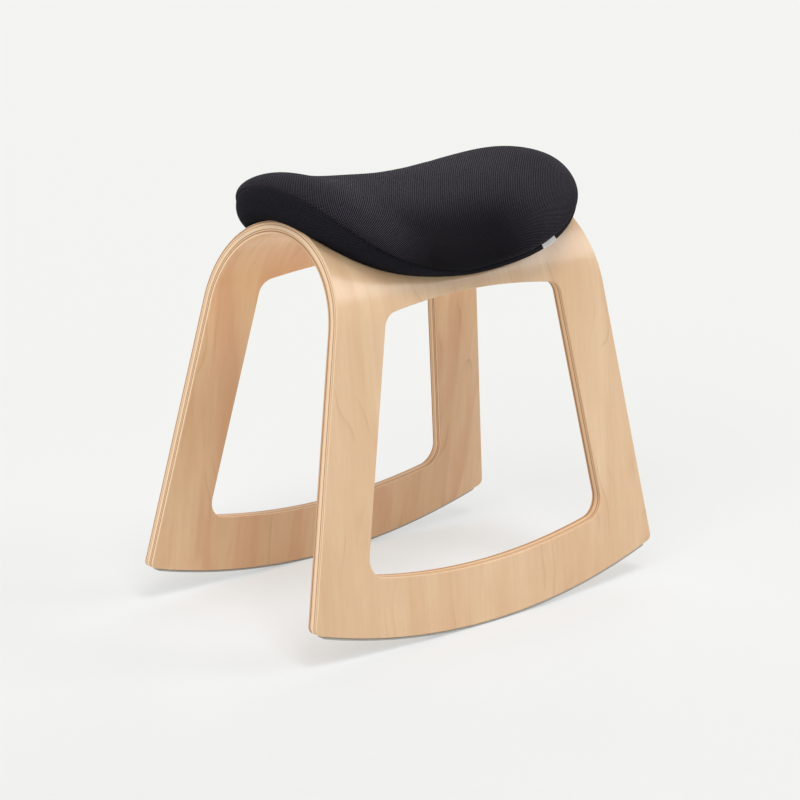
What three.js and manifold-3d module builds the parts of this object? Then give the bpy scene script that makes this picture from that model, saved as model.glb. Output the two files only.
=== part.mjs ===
// Rocking saddle stool: a bent plywood shell on two curved edges, with a padded saddle over its crown.
// Millimetres. +X runs along the seat, +Y to the left of a person who faces +X, +Z is up.
// The origin is on the floor, under the middle of the stool.

import * as THREE from 'three';
import { mergeVertices } from 'three/addons/utils/BufferGeometryUtils.js';
import Module from 'manifold-3d';

const wasm = await Module();
wasm.setup();

// Bent plywood shell
const PLY_THICKNESS = 15;
const FRAME_HEIGHT = 470;
const CROWN_RADIUS = 118;
const LEG_SPLAY = THREE.MathUtils.degToRad(7);
const END_RAKE = THREE.MathUtils.degToRad(10.55);
const FOOT_HALF_LENGTH = 270;
const FOOT_CORNER_RADIUS = 8;
const ROCKER_RADIUS = 908;

// Windows in the two leg panels
const UPRIGHT_WIDTH = 71.5;
const WINDOW_SILL_HEIGHT = 71.5;
const WINDOW_HEAD_HEIGHT = 387;
const WINDOW_SILL_RADIUS = 880;
const WINDOW_HEAD_RADIUS = 860;
const WINDOW_SILL_CORNER = 24;
const WINDOW_HEAD_CORNER = 19;

// Strips under the rocker edges
const STRIP_THICKNESS = 2.5;
const STRIP_WIDTH = 12;
const STRIP_END_MARGIN = 10;

// Seat outline where it meets the crown, half lengths along the ridge and around the bend
const SEAT_HALF_LENGTH = 199;
const SEAT_HALF_GIRTH = 130;
const SEAT_SQUARENESS_share = 2.5;

// Seat form: height of the pad over the crown, and of the seam between top and side. The end
// towards +X rises in its corners, the other end more in the middle.
const PAD_THICKNESS = 35.3;
const PAD_SIDE_SWELL = 12;
const PAD_FRONT_RISE = 13.3;
const PAD_REAR_RISE = 22.2;
const PAD_FRONT_CORNER_SWELL = 211;
const PAD_REAR_CORNER_SWELL = 82;
const SEAM_HEIGHT_END = 38.8;
const SEAM_HEIGHT_SIDE = 15.2;
const SEAM_LEAN_END = 7.2;
const SEAM_LEAN_SIDE = -0.4;
const BAND_BOW_END = 10.2;
const BAND_BOW_SIDE = 4.3;

// Shape exponents along and across the seat, as shares
const CREST_POWER_share = 2.19;
const CORNER_POWER_ALONG_share = 2;
const CORNER_POWER_AROUND_share = 4;
const SEAM_RISE_POWER_share = 0.5;
const SEAM_RISE_EASE_share = 0.15;
const END_POWER_share = 8;
const ROLL_POWER_share = 8.9;
const ROLL_ROUND_END_share = 1;
const ROLL_ROUND_SIDE_share = 2.5;

// Layers of the seat
const TOP_PANEL_THICKNESS = 2;
const BAND_THICKNESS = 1.5;
const HEM_WIDTH = 18;
const DUST_CLOTH_THICKNESS = 0.8;
const BOARD_THICKNESS = 8;

// Sewn tab that stands out from the seam on the right side
const TAB_LENGTH = 22;
const TAB_WIDTH = 5.5;
const TAB_THICKNESS = 1.2;
const TAB_FLARE = THREE.MathUtils.degToRad(53);
const TAB_PLACE_share = 0.53;

// Fasteners from under the crown into the seat board
const BOLT_SPACING_LENGTH = 190;
const BOLT_SPACING_GIRTH = 80;
const BOLT_DIAMETER = 6;
const BOLT_HEAD_DIAMETER = 11;
const BOLT_HEAD_HEIGHT = 3.3;
const BOLT_HEAD_FLAT_share = 0.6;
const BOLT_TIP_CHAMFER = 0.8;
const SOCKET_ACROSS = 4;
const SOCKET_DEPTH = 2;
const WASHER_DIAMETER = 18;
const WASHER_THICKNESS = 1.6;
const NUT_FLANGE_DIAMETER = 19;
const NUT_FLANGE_THICKNESS = 1.3;
const NUT_BARREL_DIAMETER = 8.2;
const BOLT_HOLE_CLEARANCE = 0.6;

// Clearances: between flat neighbours, and between faceted bends that lie on each other
const CLEARANCE = 0.3;
const BEND_CLEARANCE = 0.7;
const OVERRUN = 20;

// Facet counts
const CROWN_STEPS = 24;
const ROCKER_STEPS = 17;
const WINDOW_STEPS = 8;
const CORNER_STEPS = 5;
const SEAT_SIDES = 48;
const BAND_RINGS = 6;
const TOP_RINGS = 9;
const UNDER_RINGS = 7;
const TAB_STEPS = 4;
const HEAD_STEPS = 2;
const ROUND_SIDES = 16;
const HEX_SIDES = 6;

// Heights of the seat's layers over the crown
const HEM_BOTTOM = BEND_CLEARANCE;
const HEM_TOP = HEM_BOTTOM + BAND_THICKNESS;
const CLOTH_TOP = HEM_TOP;
const CLOTH_BOTTOM = CLOTH_TOP - DUST_CLOTH_THICKNESS;
const BOARD_BOTTOM = HEM_TOP + BEND_CLEARANCE;
const BOARD_TOP = BOARD_BOTTOM + BOARD_THICKNESS;
const FOAM_BOTTOM = BOARD_TOP + CLEARANCE;
const FILLING_DEPTH = BAND_THICKNESS + BEND_CLEARANCE;

// Heights of the fasteners along a bolt's axis, from the shell's outer face
const insideRadius = CROWN_RADIUS - PLY_THICKNESS;
const washerSag = insideRadius - Math.sqrt(insideRadius ** 2 - (WASHER_DIAMETER / 2) ** 2);
const washerTop = -PLY_THICKNESS - washerSag - BEND_CLEARANCE;
const headTop = washerTop - WASHER_THICKNESS - CLEARANCE;
const headBottom = headTop - BOLT_HEAD_HEIGHT;
const nutSeat = BOARD_TOP - NUT_FLANGE_THICKNESS - CLEARANCE - BEND_CLEARANCE;
const boltTip = nutSeat + CLEARANCE + NUT_FLANGE_THICKNESS / 2;

const wood = { color: 0xdcb98f, roughness: 0.55, metalness: 0 };
const stripRubber = { color: 0x8f918d, roughness: 0.8, metalness: 0 };
const knit = { color: 0x1b191d, roughness: 0.95, metalness: 0 };
const bandCloth = { color: 0x131318, roughness: 0.9, metalness: 0 };
const liner = { color: 0x1d1d1f, roughness: 1, metalness: 0 };
const foam = { color: 0xd8cfae, roughness: 1, metalness: 0 };
const boardWood = { color: 0xc9a87c, roughness: 0.7, metalness: 0 };
const tabCloth = { color: 0xe8e6e2, roughness: 0.9, metalness: 0 };
const zinc = { color: 0xb9bcc0, roughness: 0.35, metalness: 1 };

const stool = new THREE.Group();

function addPart(name, geometry, finish, parent = stool) {
  const mesh = new THREE.Mesh(geometry, new THREE.MeshStandardMaterial(finish));
  mesh.name = name;
  parent.add(mesh);
  return mesh;
}

function positionOnly(geometry) {
  const plain = geometry.clone();
  for (const name of Object.keys(plain.attributes)) {
    if (name !== 'position') plain.deleteAttribute(name);
  }
  const merged = mergeVertices(plain);
  const index = [];
  for (let i = 0; i < merged.index.count; i += 3) {
    const [a, b, c] = [0, 1, 2].map((k) => merged.index.getX(i + k));
    if (a !== b && b !== c && c !== a) index.push(a, b, c);
  }
  merged.setIndex(index);
  return merged;
}

function toSolid(geometry) {
  const plain = positionOnly(geometry);
  return new wasm.Manifold(new wasm.Mesh({
    numProp: 3,
    vertProperties: new Float32Array(plain.attributes.position.array),
    triVerts: new Uint32Array(plain.index.array),
  }));
}

function toGeometry(solid) {
  const mesh = solid.getMesh();
  const geometry = new THREE.BufferGeometry();
  geometry.setAttribute('position', new THREE.BufferAttribute(mesh.vertProperties, 3));
  geometry.setIndex(new THREE.BufferAttribute(mesh.triVerts, 1));
  return geometry;
}

// Points on an arc, the first and the last included
function arcPoints(centreX, centreY, radius, from, to, steps) {
  return Array.from({ length: steps + 1 }, (_, i) => {
    const angle = THREE.MathUtils.lerp(from, to, i / steps);
    return new THREE.Vector2(centreX + radius * Math.cos(angle), centreY + radius * Math.sin(angle));
  });
}

function mirrored(points) {
  return points.map((p) => new THREE.Vector2(-p.x, p.y)).reverse();
}

// Extrudes a shape drawn in the YZ plane along X, centred on the origin
function extrudeAlongX(shape, length) {
  const geometry = new THREE.ExtrudeGeometry(shape, { depth: length, bevelEnabled: false });
  const turn = new THREE.Matrix4().makeBasis(
    new THREE.Vector3(0, 1, 0),
    new THREE.Vector3(0, 0, 1),
    new THREE.Vector3(1, 0, 0),
  );
  return geometry.translate(0, 0, -length / 2).applyMatrix4(turn);
}

// Extrudes a shape drawn in the XZ plane along Y, centred on the given place
function extrudeAlongY(shape, width, middle = 0) {
  const geometry = new THREE.ExtrudeGeometry(shape, { depth: width, bevelEnabled: false });
  const turn = new THREE.Matrix4().makeBasis(
    new THREE.Vector3(1, 0, 0),
    new THREE.Vector3(0, 0, 1),
    new THREE.Vector3(0, -1, 0),
  );
  return geometry.translate(0, 0, -width / 2).applyMatrix4(turn).translate(0, middle, 0);
}

// The bend: centre of the crown's arc, and the leg's distance from the origin along its normal
const crownCentre = FRAME_HEIGHT - CROWN_RADIUS;
const legReach = crownCentre * Math.sin(LEG_SPLAY) + CROWN_RADIUS;
const bendHalfAngle = Math.PI / 2 - LEG_SPLAY;

function legOffset(height, depth) {
  return (legReach - depth - height * Math.sin(LEG_SPLAY)) / Math.cos(LEG_SPLAY);
}

// A place on the shell: x along the ridge, girth around the bend from the ridge, rise off the surface
function onShell(x, girth, rise) {
  const bendGirth = CROWN_RADIUS * bendHalfAngle;
  const bent = THREE.MathUtils.clamp(girth, -bendGirth, bendGirth);
  const angle = bent / CROWN_RADIUS;
  const beyond = Math.abs(girth) - Math.abs(bent);
  const side = Math.sign(girth);
  return new THREE.Vector3(
    x,
    (CROWN_RADIUS + rise) * Math.sin(angle) + side * beyond * Math.sin(LEG_SPLAY),
    crownCentre + (CROWN_RADIUS + rise) * Math.cos(angle) - beyond * Math.cos(LEG_SPLAY),
  );
}

// The rocker: the strips' faceted arc has a middle facet, which lies flat on the floor
const stripHalfAngle = Math.asin((FOOT_HALF_LENGTH - STRIP_END_MARGIN) / ROCKER_RADIUS);
const rockerCentre = ROCKER_RADIUS * Math.cos(stripHalfAngle / ROCKER_STEPS);
const footHeight = rockerCentre - Math.sqrt(ROCKER_RADIUS ** 2 - FOOT_HALF_LENGTH ** 2);

// Half length of the side outline at a height
const endAtFloor = FOOT_HALF_LENGTH + footHeight * Math.tan(END_RAKE);

function endReach(height) {
  return endAtFloor - height * Math.tan(END_RAKE);
}

// A corner between the raked side that meets the floor at sideAtFloor and an arc centred on the
// middle line. below is true where the corner is under the arc's centre.
function cornerBetween(sideAtFloor, arcCentre, arcRadius, cornerRadius, below) {
  const normal = new THREE.Vector2(Math.cos(END_RAKE), Math.sin(END_RAKE));
  const along = new THREE.Vector2(-normal.y, normal.x);
  const out = sideAtFloor * normal.x - cornerRadius;
  const middle = arcCentre * along.y;
  const reach = (arcRadius - cornerRadius) ** 2 - (arcCentre * normal.y - out) ** 2;
  const place = middle + (below ? -1 : 1) * Math.sqrt(reach);
  const centre = normal.clone().multiplyScalar(out).addScaledVector(along, place);
  return { centre, arcAngle: Math.atan2(centre.y - arcCentre, centre.x), sideAngle: END_RAKE };
}

// An arc about the rocker's centre over the length of a strip
function stripArc(radius) {
  const middle = -Math.PI / 2;
  const span = stripHalfAngle;
  return arcPoints(0, rockerCentre, radius, middle - span, middle + span, ROCKER_STEPS);
}

// The rocker edge of the plywood, which leaves room for the strip under it
function rockerEdge() {
  const radius = ROCKER_RADIUS - STRIP_THICKNESS - CLEARANCE;
  const corner = cornerBetween(endAtFloor, rockerCentre, radius, FOOT_CORNER_RADIUS, true);
  return {
    arc: stripArc(radius),
    round: arcPoints(
      corner.centre.x,
      corner.centre.y,
      FOOT_CORNER_RADIUS,
      corner.arcAngle,
      corner.sideAngle,
      CORNER_STEPS,
    ),
  };
}

// Outline of the window, counter-clockwise, from four arcs and two raked sides
function windowOutline() {
  const sideAtFloor = endAtFloor - UPRIGHT_WIDTH;
  const sillCentre = WINDOW_SILL_HEIGHT + WINDOW_SILL_RADIUS;
  const headCentre = WINDOW_HEAD_HEIGHT - WINDOW_HEAD_RADIUS;
  const sill = cornerBetween(sideAtFloor, sillCentre, WINDOW_SILL_RADIUS, WINDOW_SILL_CORNER, true);
  const head = cornerBetween(sideAtFloor, headCentre, WINDOW_HEAD_RADIUS, WINDOW_HEAD_CORNER, false);
  const sillArc = arcPoints(0, sillCentre, WINDOW_SILL_RADIUS, -Math.PI / 2, sill.arcAngle, WINDOW_STEPS);
  const sillRound = arcPoints(
    sill.centre.x,
    sill.centre.y,
    WINDOW_SILL_CORNER,
    sill.arcAngle,
    sill.sideAngle,
    CORNER_STEPS,
  );
  const headRound = arcPoints(
    head.centre.x,
    head.centre.y,
    WINDOW_HEAD_CORNER,
    head.sideAngle,
    head.arcAngle,
    CORNER_STEPS,
  );
  const headArc = arcPoints(0, headCentre, WINDOW_HEAD_RADIUS, head.arcAngle, Math.PI / 2, WINDOW_STEPS);
  const right = [...sillArc.slice(0, -1), ...sillRound, ...headRound.slice(0, -1), ...headArc];
  return [...right, ...mirrored(right).slice(1, -1)];
}

// Side outline of the shell with its window
function sideShape() {
  const edge = rockerEdge();
  const top = FRAME_HEIGHT + OVERRUN;
  const outline = [
    ...edge.arc,
    ...edge.round,
    new THREE.Vector2(endReach(top), top),
    new THREE.Vector2(-endReach(top), top),
    ...mirrored(edge.round),
  ];
  const shape = new THREE.Shape(outline);
  shape.holes.push(new THREE.Path(windowOutline().reverse()));
  return shape;
}

// Section of the bent sheet, open at the bottom, both faces parallel
function sheetShape() {
  const face = (depth) => [
    new THREE.Vector2(legOffset(-OVERRUN, depth), -OVERRUN),
    ...arcPoints(0, crownCentre, CROWN_RADIUS - depth, LEG_SPLAY, Math.PI - LEG_SPLAY, CROWN_STEPS),
    new THREE.Vector2(-legOffset(-OVERRUN, depth), -OVERRUN),
  ];
  return new THREE.Shape([...face(0), ...face(PLY_THICKNESS).reverse()]);
}

// The four bolts stand square to the bend, so each has its own turned frame
const boltPlaces = [1, -1].flatMap((end) => [1, -1].map((side) => ({
  x: (end * BOLT_SPACING_LENGTH) / 2,
  girth: (side * BOLT_SPACING_GIRTH) / 2,
})));

// Moves a geometry whose axis is +Z so that it stands on the shell's outer face at a bolt
function standOnShell(geometry, place, rise = 0) {
  const foot = onShell(place.x, place.girth, rise);
  return geometry.rotateX(-place.girth / CROWN_RADIUS).translate(foot.x, foot.y, foot.z);
}

function drill(solid, diameter, from, to) {
  let drilled = solid;
  for (const place of boltPlaces) {
    const bit = new THREE.CylinderGeometry(diameter / 2, diameter / 2, to - from, ROUND_SIDES);
    bit.rotateX(Math.PI / 2).translate(0, 0, (from + to) / 2);
    drilled = drilled.subtract(toSolid(standOnShell(bit, place)));
  }
  return drilled;
}

function bentwoodFrame() {
  const length = 2 * (endAtFloor + OVERRUN);
  const width = 2 * (legOffset(-OVERRUN, 0) + OVERRUN);
  const sheet = toSolid(extrudeAlongX(sheetShape(), length));
  const outline = toSolid(extrudeAlongY(sideShape(), width));
  const shell = sheet.intersect(outline);
  return toGeometry(drill(shell, BOLT_DIAMETER + BOLT_HOLE_CLEARANCE, -PLY_THICKNESS - OVERRUN, OVERRUN));
}

// A strip follows the rocker edge in the middle of the sheet's cut face, and leans with the leg
function floorStrip(side) {
  const inner = stripArc(ROCKER_RADIUS - STRIP_THICKNESS).reverse();
  const shape = new THREE.Shape([...stripArc(ROCKER_RADIUS), ...inner]);
  const lean = new THREE.Matrix4().makeShear(0, 0, 0, 0, 0, -side * Math.tan(LEG_SPLAY));
  const middle = side * legOffset(0, PLY_THICKNESS / 2);
  return extrudeAlongY(shape, STRIP_WIDTH, middle).applyMatrix4(lean);
}

// Seat outline: a superellipse in the seat's own unrolled plane. Direction is a full turn.
function seatRim(direction) {
  const c = Math.cos(direction);
  const s = Math.sin(direction);
  const power = SEAT_SQUARENESS_share;
  const scale = (Math.abs(c) ** power + Math.abs(s) ** power) ** (-1 / power);
  const unit = new THREE.Vector2(c * scale, s * scale);
  const out = new THREE.Vector2(unit.x / SEAT_HALF_LENGTH, unit.y / SEAT_HALF_GIRTH).normalize();
  const rim = new THREE.Vector2(unit.x * SEAT_HALF_LENGTH, unit.y * SEAT_HALF_GIRTH);
  return { rim, out, endness: Math.abs(unit.x) };
}

const blend = THREE.MathUtils.lerp;

// The seam rises quickly from the middle of each side, where it is eased, towards the ends
function seamHeight(endness) {
  const eased = (share) => Math.hypot(share, SEAM_RISE_EASE_share) ** SEAM_RISE_POWER_share;
  const rise = (eased(endness) - eased(0)) / (eased(1) - eased(0));
  return blend(SEAM_HEIGHT_SIDE, SEAM_HEIGHT_END, rise);
}

// Height of the pad over the shell, before its edge rolls down to the seam
function saddleHeight(x, girth) {
  const along = Math.abs(x) / SEAT_HALF_LENGTH;
  const around = Math.abs(girth) / SEAT_HALF_GIRTH;
  const rise = x > 0 ? PAD_FRONT_RISE : PAD_REAR_RISE;
  const swell = x > 0 ? PAD_FRONT_CORNER_SWELL : PAD_REAR_CORNER_SWELL;
  const crest = Math.sin((Math.PI / 2) * Math.min(1, along) ** CREST_POWER_share) ** 2;
  const corner = along ** CORNER_POWER_ALONG_share * around ** CORNER_POWER_AROUND_share;
  return PAD_THICKNESS + PAD_SIDE_SWELL * around ** 2 + rise * crest + swell * corner;
}

// Outer face of the side band: share runs from 0 at the lower edge to 1 at the seam
function bandFace(direction, share) {
  const { rim, out, endness } = seatRim(direction);
  const endPull = endness ** END_POWER_share;
  const lean = blend(SEAM_LEAN_SIDE, SEAM_LEAN_END, endPull) * share;
  const bow = blend(BAND_BOW_SIDE, BAND_BOW_END, endPull) * Math.sin(Math.PI * share);
  const place = rim.clone().addScaledVector(out, lean + bow);
  return onShell(place.x, place.y, HEM_BOTTOM + seamHeight(endness) * share);
}

// Outer face of the top panel: share runs from 1 at the seam to 0 at the middle of the seat
function topFace(direction, share) {
  const { rim, out, endness } = seatRim(direction);
  const endPull = endness ** END_POWER_share;
  const lean = blend(SEAM_LEAN_SIDE, SEAM_LEAN_END, endPull);
  const place = rim.clone().addScaledVector(out, lean).multiplyScalar(share);
  const round = blend(ROLL_ROUND_SIDE_share, ROLL_ROUND_END_share, endPull);
  const roll = Math.max(0, 1 - share ** ROLL_POWER_share) ** (1 / round);
  const height = blend(seamHeight(endness), saddleHeight(place.x, place.y), roll);
  return onShell(place.x, place.y, HEM_BOTTOM + height);
}

// Outward normal of a face at a direction and share, by central differences
function faceNormal(face, direction, share, towardSeam) {
  const step = 1 / (SEAT_SIDES * SEAT_SIDES);
  const low = Math.max(0, share - step);
  const high = Math.min(1, share + step);
  const around = face(direction + step, share).sub(face(direction - step, share));
  const up = face(direction, high).sub(face(direction, low)).multiplyScalar(towardSeam);
  return around.cross(up).normalize();
}

// At the seam both faces share one inward direction, so that their cut edges meet
function seamNormal(direction) {
  const side = faceNormal(bandFace, direction, 1, 1);
  const top = faceNormal(topFace, direction, 1, -1);
  return side.add(top).normalize();
}

function bandPoint(direction, share, depth, normal = faceNormal(bandFace, direction, share, 1)) {
  return bandFace(direction, share).addScaledVector(normal, -depth);
}

function topPoint(direction, share, depth) {
  const normal = share === 1 ? seamNormal(direction) : faceNormal(topFace, direction, share, -1);
  return topFace(direction, share).addScaledVector(normal, -depth);
}

const directions = Array.from({ length: SEAT_SIDES }, (_, i) => (2 * Math.PI * i) / SEAT_SIDES);

function ring(point) {
  return directions.map(point);
}

// Shares from the seam to near the middle, closer together where the edge rolls over
function topShares(rings) {
  return Array.from({ length: rings }, (_, i) => 1 - (i / rings) ** 2);
}

// Two faces between four corners, split by the diagonal that crosses the bend least
function quad(points, a, b, c, d) {
  const first = Math.abs(points[a].y - points[c].y);
  const second = Math.abs(points[b].y - points[d].y);
  return first < second ? [a, b, c, a, c, d] : [a, b, d, b, c, d];
}

// Faces between two rings of equal count, given by their first points
function joinRings(points, lower, upper, count) {
  return Array.from({ length: count }, (_, i) => {
    const j = (i + 1) % count;
    return quad(points, lower + i, lower + j, upper + j, upper + i);
  }).flat();
}

// Joins rings of equal count into a skin that closes on a point at each end
function loftToPoints(firstPoint, rings, lastPoint) {
  const points = [firstPoint, ...rings.flat(), lastPoint];
  const count = rings[0].length;
  const lastRing = 1 + (rings.length - 1) * count;
  const index = [];
  for (let i = 0; i < count; i += 1) {
    const j = (i + 1) % count;
    index.push(0, 1 + j, 1 + i);
    index.push(lastRing + i, lastRing + j, points.length - 1);
  }
  for (let r = 0; r + 1 < rings.length; r += 1) {
    index.push(...joinRings(points, 1 + r * count, 1 + (r + 1) * count, count));
  }
  return skin(points, index);
}

// Joins rings of equal count into a closed loop, the last ring to the first
function loftLoop(rings) {
  const points = rings.flat();
  const count = rings[0].length;
  const index = rings.flatMap((_, r) => (
    joinRings(points, r * count, ((r + 1) % rings.length) * count, count)
  ));
  return skin(points, index);
}

function skin(points, index) {
  const geometry = new THREE.BufferGeometry().setFromPoints(points);
  geometry.setIndex(index);
  return geometry;
}

// A place on the underside, by its distance in from the rim and its height over the shell
function underPoint(direction, inset, height, share = 1) {
  const { rim, out } = seatRim(direction);
  const place = rim.clone().addScaledVector(out, -inset).multiplyScalar(share);
  return onShell(place.x, place.y, height);
}

// Rings on the underside, from the middle outward, the outermost left out where it is not wanted
function underRings(inset, height, count = UNDER_RINGS) {
  return Array.from({ length: count }, (_, i) => (
    ring((direction) => underPoint(direction, inset, height, (i + 1) / UNDER_RINGS))
  ));
}

// Share of the band's height that lies at a height over the shell
function shareAtHeight(direction, height) {
  return (height - HEM_BOTTOM) / seamHeight(seatRim(direction).endness);
}

function coverTopPanel() {
  const rings = (depth) => topShares(TOP_RINGS).map((share) => ring((d) => topPoint(d, share, depth)));
  const top = topFace(0, 0);
  const under = top.clone().setZ(top.z - TOP_PANEL_THICKNESS);
  return loftToPoints(under, [...rings(TOP_PANEL_THICKNESS).reverse(), ...rings(0)], top);
}

// The band stands from the lower edge to just short of the seam, and is turned in under the board
function coverSideBand() {
  const top = (direction) => 1 - CLEARANCE / seamHeight(seatRim(direction).endness);
  const bandRing = (i, depth) => ring((direction) => {
    const share = (top(direction) * i) / BAND_RINGS;
    const normal = i === BAND_RINGS ? seamNormal(direction) : undefined;
    return bandPoint(direction, share, depth, normal);
  });
  const steps = Array.from({ length: BAND_RINGS + 1 }, (_, i) => i);
  return loftLoop([
    ...steps.map((i) => bandRing(i, 0)),
    ...steps.slice(1).reverse().map((i) => bandRing(i, BAND_THICKNESS)),
    ring((direction) => underPoint(direction, BAND_THICKNESS, HEM_TOP)),
    ring((direction) => underPoint(direction, HEM_WIDTH, HEM_TOP)),
    ring((direction) => underPoint(direction, HEM_WIDTH, HEM_BOTTOM)),
  ]);
}

function seatBoard() {
  const edge = (height) => ring((d) => bandPoint(d, shareAtHeight(d, height), FILLING_DEPTH));
  const face = (height) => [...underRings(FILLING_DEPTH, height, UNDER_RINGS - 1), edge(height)];
  const board = toSolid(loftToPoints(
    onShell(0, 0, BOARD_BOTTOM),
    [...face(BOARD_BOTTOM), ...face(BOARD_TOP).reverse()],
    onShell(0, 0, BOARD_TOP),
  ));
  const drilled = drill(board, NUT_BARREL_DIAMETER + BOLT_HOLE_CLEARANCE, -OVERRUN, OVERRUN);
  return toGeometry(drill(drilled, NUT_FLANGE_DIAMETER + BOLT_HOLE_CLEARANCE, nutSeat, OVERRUN));
}

function seatFoam() {
  const depth = TOP_PANEL_THICKNESS + BEND_CLEARANCE;
  const floor = (direction) => shareAtHeight(direction, FOAM_BOTTOM);
  const sideRings = Array.from({ length: BAND_RINGS - 2 }, (_, i) => (
    ring((d) => bandPoint(d, blend(floor(d), 1, i / (BAND_RINGS - 2)), FILLING_DEPTH))
  ));
  const top = topFace(0, 0);
  return loftToPoints(
    onShell(0, 0, FOAM_BOTTOM),
    [
      ...underRings(FILLING_DEPTH, FOAM_BOTTOM, UNDER_RINGS - 1),
      ...sideRings,
      ...topShares(TOP_RINGS).map((share) => ring((d) => topPoint(d, share, depth))),
    ],
    top.clone().setZ(top.z - depth),
  );
}

function dustCloth() {
  const inset = HEM_WIDTH + CLEARANCE;
  const cloth = toSolid(loftToPoints(
    onShell(0, 0, CLOTH_BOTTOM),
    [...underRings(inset, CLOTH_BOTTOM), ...underRings(inset, CLOTH_TOP).reverse()],
    onShell(0, 0, CLOTH_TOP),
  ));
  return toGeometry(drill(cloth, NUT_BARREL_DIAMETER + BOLT_HOLE_CLEARANCE, -OVERRUN, OVERRUN));
}

// A folded tab sewn into the seam on the right side near one end, which stands out from the band
function sewnTab() {
  const across = (1 - TAB_PLACE_share ** SEAT_SQUARENESS_share) ** (1 / SEAT_SQUARENESS_share);
  const middle = Math.atan2(-across, TAB_PLACE_share);
  const step = 1 / (SEAT_SIDES * SEAT_SIDES);
  const speed = bandFace(middle + step, 1).distanceTo(bandFace(middle - step, 1)) / (2 * step);
  const sections = Array.from({ length: TAB_STEPS + 1 }, (_, i) => {
    const direction = middle + (TAB_LENGTH / speed) * (i / TAB_STEPS - 1 / 2);
    const out = faceNormal(bandFace, direction, 1, 1);
    const down = bandFace(direction, 1 - step).sub(bandFace(direction, 1)).normalize();
    const along = out.clone().multiplyScalar(Math.sin(TAB_FLARE));
    along.addScaledVector(down, Math.cos(TAB_FLARE));
    const across = out.clone().multiplyScalar(Math.cos(TAB_FLARE));
    across.addScaledVector(down, -Math.sin(TAB_FLARE));
    const corner = (width, depth) => bandPoint(direction, 1, -CLEARANCE, out)
      .addScaledVector(along, width)
      .addScaledVector(across, depth);
    return [
      corner(TAB_WIDTH, 0),
      corner(TAB_WIDTH, TAB_THICKNESS),
      corner(0, TAB_THICKNESS),
      corner(0, 0),
    ];
  });
  const points = sections.flat();
  const end = TAB_STEPS * 4;
  const index = [0, 1, 2, 0, 2, 3, end, end + 2, end + 1, end, end + 3, end + 2];
  for (let s = 0; s < TAB_STEPS; s += 1) {
    index.push(...joinRings(points, (s + 1) * 4, s * 4, 4));
  }
  return skin(points, index);
}

// Turns a profile of radius and height pairs about +Z. One that starts off the axis is closed.
function turned(profile) {
  const closed = profile[0][0] > 0 ? [...profile, profile[0]] : profile;
  const points = closed.map(([radius, height]) => new THREE.Vector2(radius, height));
  return new THREE.LatheGeometry(points, ROUND_SIDES).rotateX(Math.PI / 2);
}

// Button head bolt with a hexagon socket, its tip inside the tee nut
function seatBolt() {
  const radius = BOLT_HEAD_DIAMETER / 2;
  const flat = radius * BOLT_HEAD_FLAT_share;
  const dome = Array.from({ length: HEAD_STEPS + 1 }, (_, i) => {
    const angle = (Math.PI / 2) * (i / HEAD_STEPS);
    const height = headTop - BOLT_HEAD_HEIGHT * Math.cos(angle);
    return [blend(flat, radius, Math.sin(angle)), blend(headBottom, height, BOLT_HEAD_FLAT_share)];
  });
  const shank = BOLT_DIAMETER / 2;
  const bolt = toSolid(turned([
    [0, headBottom],
    ...dome,
    [radius, headTop],
    [shank, headTop],
    [shank, boltTip - BOLT_TIP_CHAMFER],
    [shank - BOLT_TIP_CHAMFER, boltTip],
    [0, boltTip],
  ]));
  const corner = SOCKET_ACROSS / Math.sqrt(3);
  const socket = new THREE.CylinderGeometry(corner, corner, 2 * SOCKET_DEPTH, HEX_SIDES);
  socket.rotateX(Math.PI / 2).translate(0, 0, headBottom);
  return toGeometry(bolt.subtract(toSolid(socket)));
}

function boltWasher() {
  const hole = (BOLT_DIAMETER + BOLT_HOLE_CLEARANCE) / 2;
  return turned([
    [hole, washerTop - WASHER_THICKNESS],
    [WASHER_DIAMETER / 2, washerTop - WASHER_THICKNESS],
    [WASHER_DIAMETER / 2, washerTop],
    [hole, washerTop],
  ]);
}

function teeNut() {
  const bore = (BOLT_DIAMETER + BOLT_HOLE_CLEARANCE) / 2;
  const flange = nutSeat + CLEARANCE;
  return turned([
    [bore, BOARD_BOTTOM + CLEARANCE],
    [NUT_BARREL_DIAMETER / 2, BOARD_BOTTOM + CLEARANCE],
    [NUT_BARREL_DIAMETER / 2, flange],
    [NUT_FLANGE_DIAMETER / 2, flange],
    [NUT_FLANGE_DIAMETER / 2, flange + NUT_FLANGE_THICKNESS],
    [bore, flange + NUT_FLANGE_THICKNESS],
  ]);
}

addPart('bentwood_frame', bentwoodFrame(), wood);
addPart('floor_strip_left', floorStrip(1), stripRubber);
addPart('floor_strip_right', floorStrip(-1), stripRubber);
addPart('dust_cloth', dustCloth(), liner);
addPart('seat_board', seatBoard(), boardWood);
addPart('seat_foam', seatFoam(), foam);
addPart('cover_side_band', coverSideBand(), bandCloth);
addPart('cover_top_panel', coverTopPanel(), knit);
addPart('sewn_tab', sewnTab(), tabCloth);

boltPlaces.forEach((place, i) => {
  const station = new THREE.Group();
  station.position.copy(onShell(place.x, place.girth, 0));
  station.rotation.x = -place.girth / CROWN_RADIUS;
  stool.add(station);
  addPart(`seat_bolt_${i + 1}`, seatBolt(), zinc, station);
  addPart(`bolt_washer_${i + 1}`, boltWasher(), zinc, station);
  addPart(`tee_nut_${i + 1}`, teeNut(), zinc, station);
});

export default stool;
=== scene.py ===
"""Looks for the rocking saddle stool. Sizes are in millimetres until a mesh is made."""
import math

import bmesh
import bpy
import numpy as np
from mathutils import Matrix, Vector
from mathutils.geometry import delaunay_2d_cdt


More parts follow.
